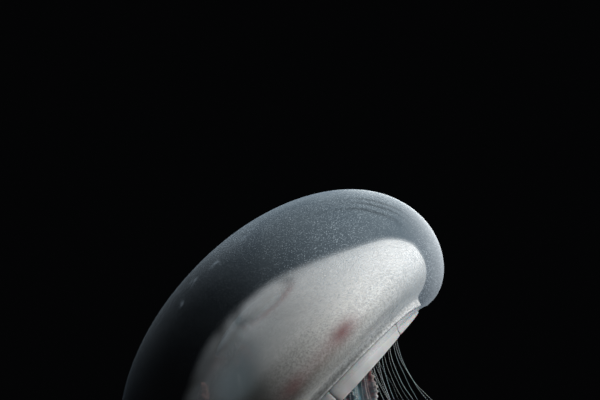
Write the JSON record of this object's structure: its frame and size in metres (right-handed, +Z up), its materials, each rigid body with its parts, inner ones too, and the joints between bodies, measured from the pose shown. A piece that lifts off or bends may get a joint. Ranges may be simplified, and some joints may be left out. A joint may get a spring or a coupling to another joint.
{
  "type": "moon jellyfish model",
  "caption": "Life-size moon jellyfish, bell drawn in mid-stroke and tilted, with trailing tentacles and frilled arms, held on a round base by two rods.",
  "frame": {"origin": "centre of the underside of the stand's base, on the floor", "axes": "+Z up; the bell's crown points up and towards -X, and its mouth down and towards +X; the base lies in the XY plane"},
  "size_m": [0.1801, 0.1996, 0.2516],
  "materials": {
    "clear_jelly": "gloss",
    "margin_jelly": "satin",
    "organ_tissue": "satin",
    "gonad_tissue": "satin",
    "sense_tissue": "satin",
    "dark_wood": "satin",
    "steel_rod": "satin",
    "soft_pad": "matte"
  },
  "bodies": {
    "root": {"bell_crown": "clear_jelly", "bell_shoulder_1": "clear_jelly", "margin_flap_1": "margin_jelly", "sense_organ_1": "sense_tissue", "bell_shoulder_2": "clear_jelly", "margin_flap_2": "margin_jelly", "sense_organ_2": "sense_tissue", "bell_shoulder_3": "clear_jelly", "margin_flap_3": "margin_jelly", "sense_organ_3": "sense_tissue", "bell_shoulder_4": "clear_jelly", "margin_flap_4": "margin_jelly", "sense_organ_4": "sense_tissue", "bell_shoulder_5": "clear_jelly", "margin_flap_5": "margin_jelly", "sense_organ_5": "sense_tissue", "bell_shoulder_6": "clear_jelly", "margin_flap_6": "margin_jelly", "sense_organ_6": "sense_tissue", "bell_shoulder_7": "clear_jelly", "margin_flap_7": "margin_jelly", "sense_organ_7": "sense_tissue", "bell_shoulder_8": "clear_jelly", "margin_flap_8": "margin_jelly", "sense_organ_8": "sense_tissue", "mouth_tube": "organ_tissue", "gonad_1": "gonad_tissue", "oral_arm_1_upper": "organ_tissue", "oral_arm_1_lower": "organ_tissue", "gonad_2": "gonad_tissue", "oral_arm_2_upper": "organ_tissue", "oral_arm_2_lower": "organ_tissue", "gonad_3": "gonad_tissue", "oral_arm_3_upper": "organ_tissue", "oral_arm_3_lower": "organ_tissue", "gonad_4": "gonad_tissue", "oral_arm_4_upper": "organ_tissue", "oral_arm_4_lower": "organ_tissue", "stand_base": "dark_wood", "stand_rod_near": "steel_rod", "stand_pad_near": "soft_pad", "stand_rod_far": "steel_rod", "stand_pad_far": "soft_pad"}
  },
  "joints": []
}
